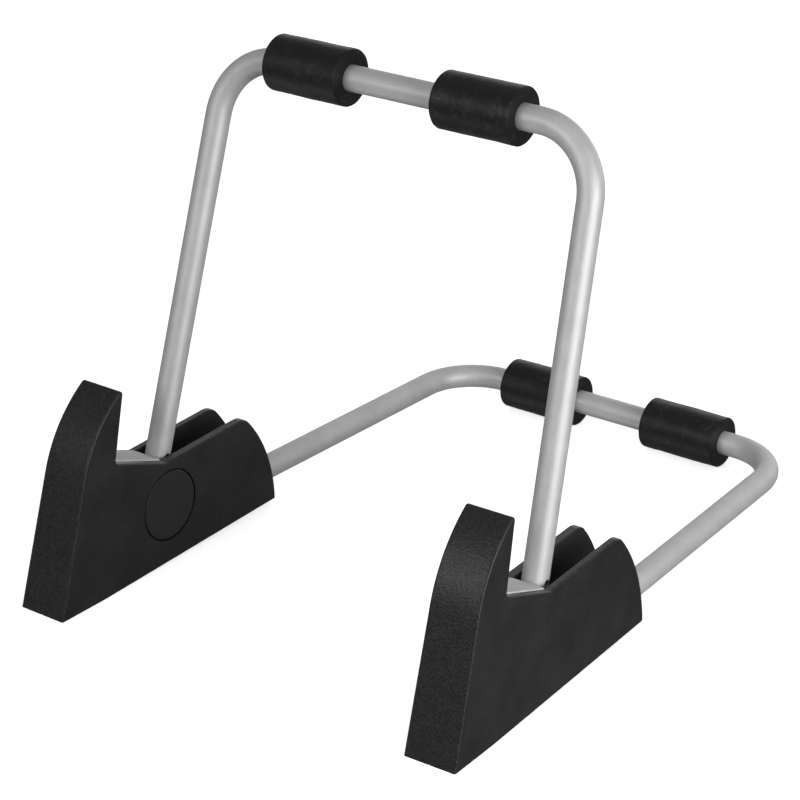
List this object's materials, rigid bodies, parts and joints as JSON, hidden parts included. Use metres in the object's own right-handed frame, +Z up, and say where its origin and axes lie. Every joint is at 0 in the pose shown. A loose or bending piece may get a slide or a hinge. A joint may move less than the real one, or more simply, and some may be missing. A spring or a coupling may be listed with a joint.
{
  "type": "folding tablet stand",
  "caption": "Folding desk stand: hooked plastic feet carry a tablet's edge, a leaning U-shaped tube with foam sleeves backs it and folds over a second U-shaped tube.",
  "frame": {"origin": "on the floor, under the middle of the stand's box", "axes": "+X to the right across the stand, +Y to the rear, +Z up; the hooks are at the front"},
  "size_m": [0.122, 0.1673, 0.1249],
  "materials": {
    "tube": "satin anodised",
    "sleeve": "closed-cell foam rubber",
    "foot": "fine moulded grain",
    "cover": "smooth moulded",
    "pad": "soft matt",
    "steel": "zinc plated",
    "zinc": "die cast",
    "insert": "turned"
  },
  "bodies": {
    "base": {"lower_tube": "tube", "lower_sleeve_left": "sleeve", "foot_outer_shell_left": "foot", "foot_inner_shell_left": "foot", "seat_pad_left": "pad", "pivot_cover_left": "cover", "pivot_screw_left": "steel", "threaded_insert_left": "insert", "friction_washer_inner_left": "steel", "friction_washer_outer_left": "steel", "tube_pin_left": "steel", "shell_dowels_left": "steel", "lower_sleeve_right": "sleeve", "foot_outer_shell_right": "foot", "foot_inner_shell_right": "foot", "seat_pad_right": "pad", "pivot_cover_right": "cover", "pivot_screw_right": "steel", "threaded_insert_right": "insert", "friction_washer_inner_right": "steel", "friction_washer_outer_right": "steel", "tube_pin_right": "steel", "shell_dowels_right": "steel"},
    "upper_frame": {"upper_tube": "tube", "upper_sleeve_left": "sleeve", "pivot_eye_left": "zinc", "eye_pin_left": "steel", "upper_sleeve_right": "sleeve", "pivot_eye_right": "zinc", "eye_pin_right": "steel"}
  },
  "joints": [
    {"name": "upper_frame_fold", "type": "hinge", "parent": "base", "child": "upper_frame", "pos_m": [0, -0.04603, 0.0152], "axis": [-1, 0, 0], "range_deg": [0, 75.2]}
  ]
}
